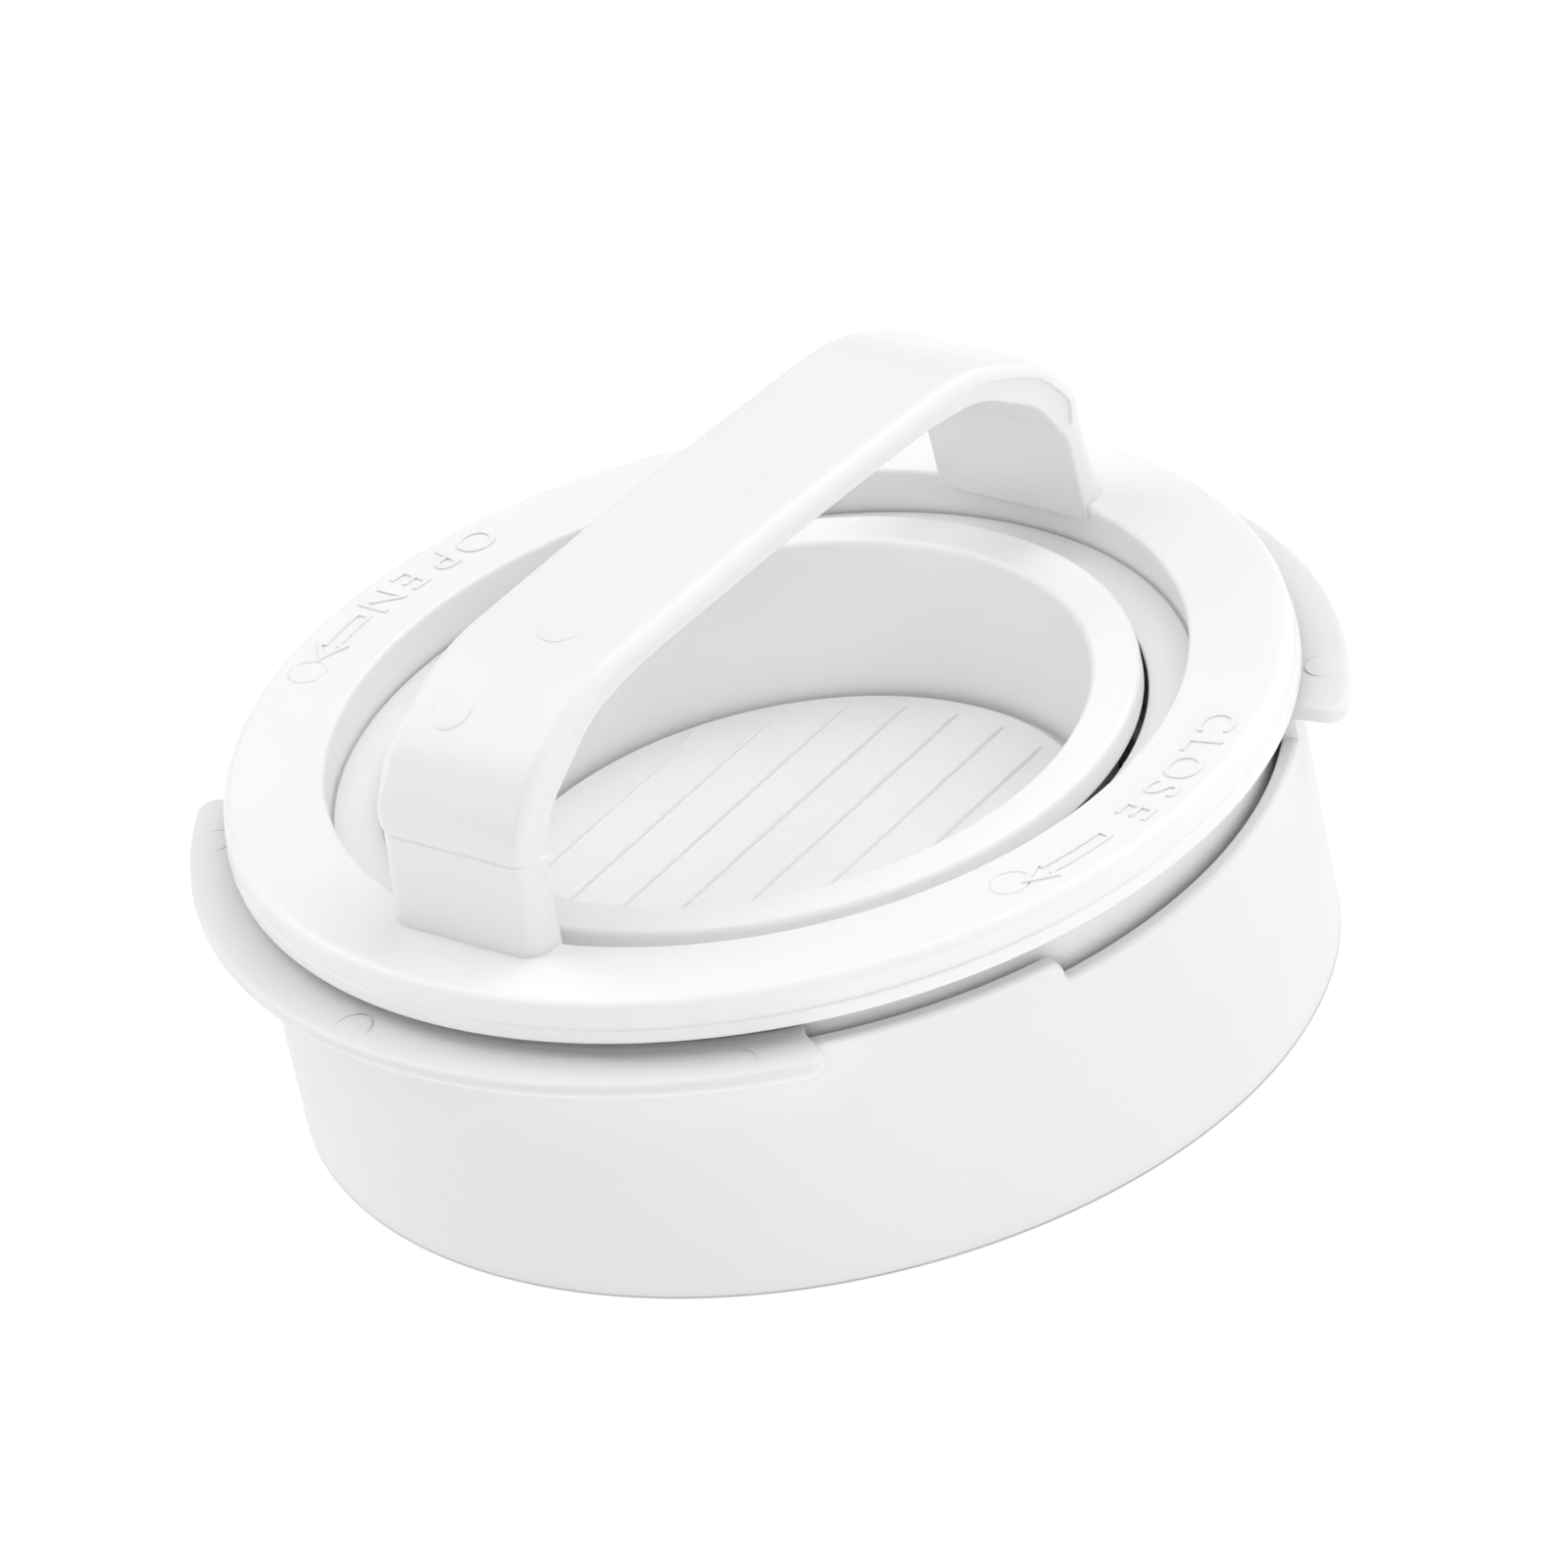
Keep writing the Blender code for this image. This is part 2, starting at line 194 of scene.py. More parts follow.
# ---- Studio ----
FLOOR_RADIUS = 6.0        # m
FLOOR_SHADE = 0.25
FLOOR_GLOW = 0.86
SKY = 0.04
HORIZON_GLOW = 0.95
HORIZON_BAND = (0.065, 0.10)  # heights on the unit sphere between which the band fades
CAMERA_AZIMUTH = -36.8
CAMERA_ELEVATION = 30.62
CAMERA_ROLL = 12.55
CAMERA_DISTANCE = 1.6314  # m, from the middle of the ring's underside
CAMERA_SHIFT = (0.002505, -0.005302)  # m, the aim right of and above that point
CAMERA_LENS = 315.0
LIGHT_DISTANCE = 1.2
LIGHT_SIZE = 0.9
# name: (degrees anticlockwise from the camera, elevation, watts)
LIGHTS = {
    "front_fill": (0.0, 25.0, 4.2),
    "right_low": (60.0, 25.0, 2.0),
    "right_high": (60.0, 55.0, 1.4),
    "rear_right_low": (120.0, 25.0, 2.7),
    "rear_right_high": (120.0, 55.0, 4.6),
    "rear": (180.0, 55.0, 1.5),
    "rear_left_low": (240.0, 25.0, 3.9),
    "rear_left_high": (240.0, 55.0, 3.6),
    "left": (300.0, 55.0, 1.2),
    "top": (36.8, 88.0, 1.4),
}


# ---------------------------------------------------------------- outlines

def round_corner(before, corner, after, radius, arc_step=ARC_STEP_DEG, steps=None):
    """Points of the arc that rounds one corner of an outline."""
    x, y = corner
    in_angle = math.atan2(before[1] - y, before[0] - x)
    out_angle = math.atan2(after[1] - y, after[0] - x)
    turn = math.remainder(out_angle - in_angle, math.tau)
    reach = radius / math.sin(abs(turn) / 2)
    setback = radius / math.tan(abs(turn) / 2)
    middle = in_angle + turn / 2
    cx = x + reach * math.cos(middle)
    cy = y + reach * math.sin(middle)
    start = math.atan2(y + setback * math.sin(in_angle) - cy, x + setback * math.cos(in_angle) - cx)
    sweep = -math.copysign(math.pi - abs(turn), turn)
    steps = steps or max(2, round(math.degrees(abs(sweep)) / arc_step))
    angles = [start + sweep * step / steps for step in range(steps + 1)]
    return [(cx + radius * math.cos(a), cy + radius * math.sin(a)) for a in angles]


def outline(points, closed=True, arc_step=ARC_STEP_DEG, steps=None):
    """An outline with each (x, y, radius) corner rounded; a radius of 0 keeps the corner."""
    result = []
    count = len(points)
    for index, (x, y, radius) in enumerate(points):
        end = not closed and index in (0, count - 1)
        if radius == 0.0 or end:
            result.append((x, y))
            continue
        after = points[(index + 1) % count]
        result += round_corner(points[index - 1][:2], (x, y), after[:2], radius, arc_step, steps)
    return result


def resample(points, spacing):
    """Adds points along an open outline so that none are further apart than spacing."""
    result = [points[0]]
    for start, end in zip(points, points[1:]):
        pieces = max(1, math.ceil(math.dist(start, end) / spacing))
        for piece in range(1, pieces + 1):
            k = piece / pieces
            result.append((start[0] + (end[0] - start[0]) * k, start[1] + (end[1] - start[1]) * k))
    return result


def smoothstep(low, high, value):
    k = min(1.0, max(0.0, (value - low) / (high - low)))
    return k * k * (3.0 - 2.0 * k)


# ---------------------------------------------------------------- meshes

def grid_mesh(name, columns, close_columns, cap_ends=False):
    """A closed surface from columns of points in mm; each column is itself a closed loop."""
    bm = bmesh.new()
    grid = [[bm.verts.new((x * MM, y * MM, z * MM)) for x, y, z in column] for column in columns]
    count = len(grid)
    rows = len(grid[0])
    for i in range(count if close_columns else count - 1):
        near = grid[i]
        far = grid[(i + 1) % count]
        for j in range(rows):
            k = (j + 1) % rows
            bm.faces.new((near[j], far[j], far[k], near[k]))
    if cap_ends:
        bm.faces.new(grid[0])
        bm.faces.new(list(reversed(grid[-1])))
    bmesh.ops.recalc_face_normals(bm, faces=bm.faces)
    return object_from(name, bm)


def object_from(name, bm):
    mesh = bpy.data.meshes.new(name)
    bm.to_mesh(mesh)
    bm.free()
    obj = bpy.data.objects.new(name, mesh)
    bpy.context.scene.collection.objects.link(obj)
    return obj


def lathe(name, profile):
    """A full turn of a closed (radius, z) outline. A point on the axis is shared by all columns."""
    columns = []
    for step in range(TURN_STEPS):
        a = math.tau * step / TURN_STEPS
        columns.append([(r * math.cos(a), r * math.sin(a), z) for r, z in profile])
    obj = grid_mesh(name, columns, True)
    bm = bmesh.new()
    bm.from_mesh(obj.data)
    bmesh.ops.remove_doubles(bm, verts=bm.verts, dist=0.001 * MM)
    bmesh.ops.recalc_face_normals(bm, faces=bm.faces)
    bm.to_mesh(obj.data)
    bm.free()
    return obj


def arc_sweep(name, profile, start_deg, end_deg):
    """A (radius, z) outline swept through part of a turn, with flat ends."""
    steps = max(2, round((end_deg - start_deg) * TURN_STEPS / 360.0))
    columns = []
    for step in range(steps + 1):
        a = math.radians(start_deg + (end_deg - start_deg) * step / steps)
        columns.append([(r * math.cos(a), r * math.sin(a), z) for r, z in profile])
    return grid_mesh(name, columns, False, cap_ends=True)


def rounded_slab(name, plan, bottom, top, low_round, high_round):
    """A slab over a closed plan outline (anticlockwise, mm) with its edges rounded by quarter circles."""
    count = len(plan)
    normals = []
    for i in range(count):
        ax, ay = plan[i - 1]
        bx, by = plan[(i + 1) % count]
        length = math.hypot(bx - ax, by - ay)
        normals.append(((by - ay) / length, -(bx - ax) / length))
    levels = []
    quarter = [math.radians(a) for a in (90, 67.5, 45, 22.5, 0)]
    for a in quarter:
        levels.append((low_round * (1 - math.cos(a)), bottom + low_round * (1 - math.sin(a))))
    for a in reversed(quarter):
        levels.append((high_round * (1 - math.cos(a)), top - high_round * (1 - math.sin(a))))
    bm = bmesh.new()
    rings = []
    for inset, z in levels:
        rings.append([bm.verts.new(((x - nx * inset) * MM, (y - ny * inset) * MM, z * MM))
                      for (x, y), (nx, ny) in zip(plan, normals)])
    for low, high in zip(rings, rings[1:]):
        for i in range(count):
            k = (i + 1) % count
            bm.faces.new((low[i], low[k], high[k], high[i]))
    bm.faces.new(list(reversed(rings[0])))
    bm.faces.new(rings[-1])
    bmesh.ops.recalc_face_normals(bm, faces=bm.faces)
    return object_from(name, bm)


def combine(target, tool, operation):
    """Applies one exact Boolean and removes its tool."""
    boolean = target.modifiers.new(operation, "BOOLEAN")
    boolean.operation = operation
    boolean.solver = "EXACT"
    boolean.object = tool
    bake(target)
    bpy.data.objects.remove(tool)


def bake(obj):
    """Replaces the mesh by what its modifiers make of it."""
    bpy.context.view_layer.update()
    mesh = bpy.data.meshes.new_from_object(obj.evaluated_get(bpy.context.evaluated_depsgraph_get()))
    obj.modifiers.clear()
    old = obj.data
    obj.data = mesh
    bpy.data.meshes.remove(old)


def finish_piece(obj, body, slot, material, *nodes):
    """Smooth shading, finish, and the piece's place in the frame."""
    obj.data.shade_smooth()
    obj.data.set_sharp_from_angle(angle=math.radians(SHARP_DEG))
    obj.data.materials.clear()
    obj.data.materials.append(material)
    weighted = obj.modifiers.new("Even shading", "WEIGHTED_NORMAL")
    weighted.keep_sharp = True
    bake(obj)
    if nodes:
        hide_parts(*nodes)
    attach(obj, body)


# ---------------------------------------------------------------- materials

def moulded_plastic(name, shade, roughness, grain=0.05, swirl=0.12, bands=0.0):
    """Satin white polypropylene: fine grain, slow unevenness, patchy gloss and painted shade in its
    recesses.
    """
    material = bpy.data.materials.new(name)
    material.use_nodes = True
    nodes = material.node_tree.nodes
    links = material.node_tree.links
    shader = nodes["Principled BSDF"]
    shader.inputs["IOR"].default_value = 1.49
    shader.inputs["Specular IOR Level"].default_value = 0.45
    shader.inputs["Subsurface Weight"].default_value = 0.12
    shader.inputs["Subsurface Radius"].default_value = (1.0, 0.95, 0.9)
    shader.inputs["Subsurface Scale"].default_value = 0.0012
    place = nodes.new("ShaderNodeTexCoord")

    def noise(scale, detail, distortion=0.0):
        node = nodes.new("ShaderNodeTexNoise")
        node.inputs["Scale"].default_value = scale
        node.inputs["Detail"].default_value = detail
        node.inputs["Distortion"].default_value = distortion
        links.new(place.outputs["Object"], node.inputs["Vector"])
        return node.outputs["Fac"]

    def spread(source, low, high):
        node = nodes.new("ShaderNodeMapRange")
        node.inputs["From Min"].default_value = 0.3
        node.inputs["From Max"].default_value = 0.7
        node.inputs["To Min"].default_value = low
        node.inputs["To Max"].default_value = high
        links.new(source, node.inputs["Value"])
        return node.outputs["Result"]

    cloud = noise(45.0, 3.0, 0.6)
    colour = nodes.new("ShaderNodeMix")
    colour.data_type = "RGBA"
    colour.inputs["A"].default_value = (shade, shade, shade * 0.997, 1.0)
    colour.inputs["B"].default_value = (shade * 0.975, shade * 0.975, shade * 0.97, 1.0)
    links.new(cloud, colour.inputs["Factor"])
    # Painted shade: an ambient occlusion reading within 3.5 mm scales the base colour down to 0.74 in
    # crevices, gaps and under overhangs.
    painted_crevice_shade = nodes.new("ShaderNodeAmbientOcclusion")
    painted_crevice_shade.samples = 6
    painted_crevice_shade.inputs["Distance"].default_value = 0.0035
    depth = nodes.new("ShaderNodeMapRange")
    depth.inputs["From Min"].default_value = 0.15
    depth.inputs["From Max"].default_value = 0.6
    depth.inputs["To Min"].default_value = 0.74
    links.new(painted_crevice_shade.outputs["AO"], depth.inputs["Value"])
    shaded = nodes.new("ShaderNodeVectorMath")
    shaded.operation = "SCALE"
    links.new(colour.outputs["Result"], shaded.inputs[0])
    links.new(depth.outputs["Result"], shaded.inputs["Scale"])
    links.new(shaded.outputs["Vector"], shader.inputs["Base Color"])
    links.new(spread(noise(160.0, 4.0), roughness - 0.05, roughness + 0.07), shader.inputs["Roughness"])

    def bump(source, strength, depth, before=None):
        node = nodes.new("ShaderNodeBump")
        node.inputs["Strength"].default_value = strength
        node.inputs["Distance"].default_value = depth
        links.new(source, node.inputs["Height"])
        if before:
            links.new(before, node.inputs["Normal"])
        return node.outputs["Normal"]

    normal = bump(noise(70.0, 2.0, 0.3), swirl, 0.0006)
    normal = bump(noise(2600.0, 2.0), grain, 0.00006, normal)
    if bands:
        normal = bump(radial_bands(nodes, links, place), bands, 0.0006, normal)
    links.new(normal, shader.inputs["Normal"])
    return material


def radial_bands(nodes, links, place):
    """Height of the soft flow bands that run outward on the ring: noise read by angle alone."""
    split = nodes.new("ShaderNodeSeparateXYZ")
    links.new(place.outputs["Object"], split.inputs["Vector"])
    flat = nodes.new("ShaderNodeCombineXYZ")
    links.new(split.outputs["X"], flat.inputs["X"])
    links.new(split.outputs["Y"], flat.inputs["Y"])
    unit = nodes.new("ShaderNodeVectorMath")
    unit.operation = "NORMALIZE"
    links.new(flat.outputs["Vector"], unit.inputs[0])
    noise = nodes.new("ShaderNodeTexNoise")
    noise.inputs["Scale"].default_value = 6.0
    noise.inputs["Detail"].default_value = 1.5
    links.new(unit.outputs["Vector"], noise.inputs["Vector"])
    return noise.outputs["Fac"]


# ---------------------------------------------------------------- base mould

def wall_radius(z):
    return WALL_R_BOTTOM + (WALL_R_TOP - WALL_R_BOTTOM) * z / WALL_TOP


def rim_columns():
    """(angle in degrees, rim height) round the base, with the notches between lip and rim rounded."""
    per_deg = math.radians(WALL_R_TOP)
    half = []
    half.append((-WING_ROOT_DEG * per_deg, RIM_TOP, 0.0))
    half.append((-WING_ROOT_DEG * per_deg + 0.01, WALL_TOP, 0.0))
    half.append((WING_ROOT_DEG * per_deg, WALL_TOP, 0.0))
    half.append((WING_ROOT_DEG * per_deg + 0.01, LIP_TOP, 0.0))
    half.append((LOW_RIM_START_DEG * per_deg, LIP_TOP, 1.6))
    half.append((LOW_RIM_START_DEG * per_deg + 0.25, RIM_TOP, 0.9))
    half.append(((180.0 - WING_ROOT_DEG) * per_deg, RIM_TOP, 0.0))
    path = resample(outline(half, closed=False), 360.0 / TURN_STEPS * per_deg)[:-1]
    columns = [(s / per_deg, height) for s, height in path]
    return columns + [(degrees + 180.0, height) for degrees, height in columns]


def build_base(material):
    columns = []
    for degrees, height in rim_columns():
        out_r = wall_radius(height)
        in_r = out_r - WALL
        profile = outline([
            (out_r, height, 0.7), (WALL_R_BOTTOM, 0.0, 0.5), (LEDGE_R, 0.0, 0.4),
            (LEDGE_R, LEDGE_TOP, 0.4), (WALL_R_BOTTOM - WALL, LEDGE_TOP, 0.5), (in_r, height, 0.5),
        ])
        a = math.radians(degrees)
        columns.append([(r * math.cos(a), r * math.sin(a), z) for r, z in profile])
    base = grid_mesh("base_shell_fine", columns, True)
    for turn in (0.0, 180.0):
        combine(base, build_wing(turn), "UNION")
    finish_piece(base, "base", "base_plastic", material, "base_shell")


def build_wing(turn):
    """One grip wing: a rounded slab on the wall's outside, with three ejector-pin rings on top."""
    root_r = WALL_R_TOP - WING_SINK
    root = math.radians(WING_ROOT_DEG)
    tip = math.radians(WING_TIP_DEG)
    top = BASE_HIGH.z
    steps = round(2 * WING_TIP_DEG * TURN_STEPS / 360.0)
    ends = {}
    for sign in (-1, 1):
        inner = (root_r * math.cos(root), sign * root_r * math.sin(root))
        corner = (WING_R * math.cos(tip), sign * WING_R * math.sin(tip))
        along = (WING_R * math.cos(tip * 0.96), sign * WING_R * math.sin(tip * 0.96))
        ends[sign] = [inner] + round_corner(inner, corner, along, WING_TIP_ROUND)
    plan = list(ends[-1])
    for step in range(1, steps):
        a = (2 * step / steps - 1) * tip * 0.93
        plan.append((WING_R * math.cos(a), WING_R * math.sin(a)))
    plan += list(reversed(ends[1]))
    for step in range(1, steps // 2):
        a = root - 2 * root * step / (steps // 2)
        plan.append((root_r * math.cos(a), root_r * math.sin(a)))
    wing = rounded_slab(f"wing_{turn:.0f}", plan, WING_BOTTOM, top, WING_EDGE, WING_EDGE)
    for vertex in wing.data.vertices:
        radius = math.hypot(vertex.co.x, vertex.co.y) / MM
        if vertex.co.z > (top - WING_EDGE - 0.1) * MM:
            vertex.co.z -= WING_SLOPE * max(0.0, radius - RING_R) * MM
    wing.data.update()
    for degrees in PIN_DEG:
        surface = top - WING_SLOPE * (PIN_REACH - RING_R)
        combine(wing, pin_ring(degrees, PIN_REACH, surface), "DIFFERENCE")
    wing.data.transform(Matrix.Rotation(math.radians(turn), 4, "Z"))
    return wing


def pin_ring(degrees, radius, z):
    """The thin circular groove that an ejector pin leaves, as a cutter."""
    columns = []
    for step in range(48):
        a = math.tau * step / 48
        column = []
        for turn in range(8):
            b = math.tau * turn / 8
            r = PIN_RING_R + PIN_GROOVE_HALF * math.cos(b)
            column.append((r * math.cos(a), r * math.sin(a), PIN_GROOVE_DEPTH * math.sin(b)))
        columns.append(column)
    ring = grid_mesh("pin_ring", columns, True)
    a = math.radians(degrees)
    ring.data.transform(Matrix.Translation((radius * math.cos(a) * MM, radius * math.sin(a) * MM, z * MM)))
    return ring


# ---------------------------------------------------------------- plate and drum

def build_plate(material):
    low, high = PLATE_LOW.z, PLATE_HIGH.z
    rim = [(0.0, high, 0.0), (PLATE_R - 3.2, high, 0.3), (PLATE_R - 2.8, high - 0.3, 0.3),
           (PLATE_R - 1.2, high - 0.3, 0.3), (PLATE_R - 0.9, high, 0.3), (PLATE_R, high, 0.4),
           (PLATE_R, low, 0.4), (0.0, low, 0.0)]
    plate = lathe("base_plate_fine", outline(rim))
    finish_piece(plate, "plate", "plate_plastic", material, "base_plate")


def build_drum(material):
    top = DRUM_HIGH.z
    face_top = PRESS_FACE + DRUM_WALL
    guide_r = GUIDE_R + GUIDE_WALL
    inner_r = DRUM_R - DRUM_WALL
    lug_root = inner_r + DRUM_WALL / 2
    rim = [
        (DRUM_R, top, 0.6), (DRUM_R - DRUM_DRAFT, PRESS_FACE, 0.8), (PRESS_HOLE_R, PRESS_FACE, 0.4),
        (PRESS_HOLE_R, face_top, 0.4), (GUIDE_R, face_top, 0.3), (GUIDE_R, GUIDE_TOP, 0.5),
        (guide_r, GUIDE_TOP, 0.5), (guide_r, face_top, 0.6), (inner_r, face_top, 0.6),
        (inner_r, top, 0.6),
    ]
    drum = lathe("press_drum_fine", outline(rim))
    lug = outline([
        (lug_root, LUG_TOP, 0.0), (lug_root, LUG_BOTTOM, 0.0),
        (LUG_R, LUG_BOTTOM, 0.4), (LUG_R, LUG_TOP, 0.4),
    ])
    for low_deg, high_deg in bayonet_spans():
        combine(drum, arc_sweep("lug", lug, low_deg, high_deg), "UNION")
    finish_piece(drum, "drum", "drum_plastic", material, "press_drum")


# ---------------------------------------------------------------- twist ring

def bayonet_spans():
    middles = [BAYONET_START_DEG + index * 360.0 / BAYONET_COUNT for index in range(BAYONET_COUNT)]
    return [(middle - BAYONET_HALF_DEG, middle + BAYONET_HALF_DEG) for middle in middles]


def build_ring(material):
    ledge = RING_BOTTOM + RING_LEDGE
    under = RING_TOP - RING_WALL
    floor_low = RING_FLOOR_TOP - RING_FLOOR
    groove_r = RING_INNER_R_BOTTOM - RING_GROOVE
    groove_low = RING_FLOOR_TOP - RING_GROOVE
    rim = [
        (RING_R - 0.35, RING_TOP, 1.5), (RING_R - 0.3, ledge, 0.08), (RING_R, ledge - 0.12, 0.14),
        (RING_R, RING_BOTTOM, 0.5), (RING_R - RING_WALL, RING_BOTTOM, 0.4),
        (RING_R - RING_WALL, under, 0.8), (RING_SOCKET_R, under, 0.8), (RING_SOCKET_R, floor_low, 0.4),
        (RING_HOLE_R, floor_low, 0.3), (RING_HOLE_R, RING_FLOOR_TOP, 0.3),
        (groove_r, RING_FLOOR_TOP, 0.1), (groove_r, groove_low, 0.1),
        (RING_INNER_R_BOTTOM, groove_low, 0.1), (RING_INNER_R, RING_TOP, RING_INNER_ROUND),
    ]
    ring = lathe("twist_ring_fine", outline(rim))
    for degrees, reach in RING_PINS:
        combine(ring, pin_ring(degrees, reach, RING_TOP), "DIFFERENCE")
    root = (RING_INNER_R_BOTTOM + RING_SOCKET_R) / 2
    tab = outline([
        (TAB_R, TAB_TOP, 0.4), (TAB_R, TAB_BOTTOM, 0.4), (root, TAB_BOTTOM, 0.0), (root, TAB_TOP, 0.0),
    ])
    for low_deg, high_deg in bayonet_spans():
        combine(ring, arc_sweep("tab", tab, low_deg, high_deg), "UNION")
    finish_piece(ring, "ring", "ring_plastic", material, "twist_ring")


def build_labels(material):
    """The raised words and outlined arrows on the ring's top, sunk a little into it."""
    parts = []
    for word, first, step in WORDS:
        outward = step < 0
        for index, letter in enumerate(word):
            parts.append(raised_letter(letter, first + index * step, outward))
    for tail, neck, tip in ARROWS:
        parts.append(raised_arrow(tail, neck, tip))
    bm = bmesh.new()
    for part in parts:
        bm.from_mesh(part.data)
        bpy.data.objects.remove(part)
    labels = object_from("ring_labels_fine", bm)
    finish_piece(labels, "ring", "ring_plastic", material)


def raised_letter(letter, degrees, outward):
    """One letter in Blender's own font, standing on the ring with its top outward or inward."""
    curve = bpy.data.curves.new("letter", "FONT")
    curve.body = letter
    curve.align_x = "CENTER"
    curve.align_y = "CENTER"
    curve.size = LABEL_HEIGHT / CAP_HEIGHT
    curve.resolution_u = 6
    curve.extrude = LABEL_RAISE
    obj = bpy.data.objects.new("letter", curve)
    bpy.context.scene.collection.objects.link(obj)
    bpy.context.view_layer.update()
    mesh = bpy.data.meshes.new_from_object(obj.evaluated_get(bpy.context.evaluated_depsgraph_get()))
    bpy.data.objects.remove(obj)
    bm = bmesh.new()
    bm.from_mesh(mesh)
    bmesh.ops.remove_doubles(bm, verts=bm.verts, dist=0.001)
    low = min(vertex.co.y for vertex in bm.verts)
    high = max(vertex.co.y for vertex in bm.verts)
    for vertex in bm.verts:
        vertex.co.y -= (low + high) / 2
    turn = degrees - 90.0 if outward else degrees + 90.0
    a = math.radians(degrees)
    place = Matrix.Translation((LABEL_R * math.cos(a), LABEL_R * math.sin(a), RING_TOP))
    bm.transform(Matrix.Scale(MM, 4) @ place @ Matrix.Rotation(math.radians(turn), 4, "Z"))
    bmesh.ops.recalc_face_normals(bm, faces=bm.faces)
    return object_from("letter", bm)


def raised_arrow(tail, neck, tip):
    """An outlined block arrow along the ring, as one closed strip."""
    per_deg = math.radians(LABEL_R)
    turn = 1 if tip > tail else -1
    shaft = ARROW_SHAFT
    head = ARROW_HEAD
    a, b, c = (value * per_deg for value in (tail, neck, tip))
    run = LABEL_STROKE * turn
    inner_shaft = shaft - LABEL_STROKE
    inner_head = head - 2 * LABEL_STROKE
    outer = [(a, -shaft), (b, -shaft), (b, -head), (c, 0.0), (b, head), (b, shaft), (a, shaft)]
    inner = [
        (a + run, -inner_shaft), (b + run, -inner_shaft), (b + run, -inner_head), (c - 2.6 * run, 0.0),
        (b + run, inner_head), (b + run, inner_shaft), (a + run, inner_shaft),
    ]
    low = RING_TOP - LABEL_SINK
    high = RING_TOP + LABEL_RAISE
    columns = []
    pairs = list(zip(outer, inner))
    for (outer_from, inner_from), (outer_to, inner_to) in zip(pairs, pairs[1:] + pairs[:1]):
        for piece in range(ARROW_STEPS):
            k = piece / ARROW_STEPS
            column = []
            for start, end, z in ((outer_from, outer_to, low), (outer_from, outer_to, high),
                                  (inner_from, inner_to, high), (inner_from, inner_to, low)):
                angle = math.radians((start[0] + (end[0] - start[0]) * k) / per_deg)
                r = LABEL_R + start[1] + (end[1] - start[1]) * k
                column.append((r * math.cos(angle), r * math.sin(angle), z))
            columns.append(column)
    return grid_mesh("arrow", columns, True)


# ---------------------------------------------------------------- strap handle

def strap_section(edge_round, step, thick):
    """Half of the strap's section: (across, depth below the outer face), middle to side to middle."""
    half = HANDLE_WIDTH / 2
    parting = edge_round + 0.15
    corners = [
        (half, 0.0, edge_round), (half, parting, 0.05), (half - step, parting + 0.12, 0.05),
        (half - step, thick, 0.35),
    ]
    points = [(half * k / 6, 0.0) for k in range(5)]
    side = [(half * 0.7, 0.0, 0.0)] + corners + [(half * 0.7, thick, 0.0)]
    points += outline(side, closed=False, steps=STRAP_CORNER_STEPS)[1:-1]
    points += [(half * k / 6, thick) for k in range(4, -1, -1)]
    return points


def crossing(origin, direction, line):
    """How far a ray runs from its origin until it meets an open line."""
    best = None
    for (ax, ay), (bx, by) in zip(line, line[1:]):
        ex, ey = bx - ax, by - ay
        cross = direction[0] * ey - direction[1] * ex
        if abs(cross) < 1e-9:
            continue
        reach = ((ax - origin[0]) * ey - (ay - origin[1]) * ex) / cross
        along = ((ax - origin[0]) * direction[1] - (ay - origin[1]) * direction[0]) / cross
        if reach > 0 and -1e-6 <= along <= 1 + 1e-6 and (best is None or reach < best):
            best = reach
    return best


def mirrored(line):
    """A line over the right half, foot to crown, carried on down the left half."""
    return line + [(-t, z) for t, z in reversed(line[:-1])]


def handle_path():
    """The outer face's line from foot to crown, with close points where the crease crosses it."""
    line = resample(outline(HANDLE_OUTER, closed=False, arc_step=STRAP_ARC_STEP_DEG), 0.1)
    path = [line[0]]
    for point in line[1:-1]:
        spacing = CREASE_STEP if abs(point[1] - CREASE_Z) < CREASE_REACH else HANDLE_STEP
        if math.dist(point, path[-1]) >= spacing:
            path.append(point)
    return path + [line[-1]]


def crease_bulge(z):
    """How far the outer face stands out: a soft swelling over the crease and a thin groove in it."""
    crest = CREASE_Z + 1.0
    swelling = CREASE_BULGE * smoothstep(CREASE_Z, crest, z) * (1 - smoothstep(crest, CREASE_Z + 9, z))
    return swelling - CREASE_DEPTH * max(0.0, 1.0 - abs(z - CREASE_Z) / CREASE_HALF)


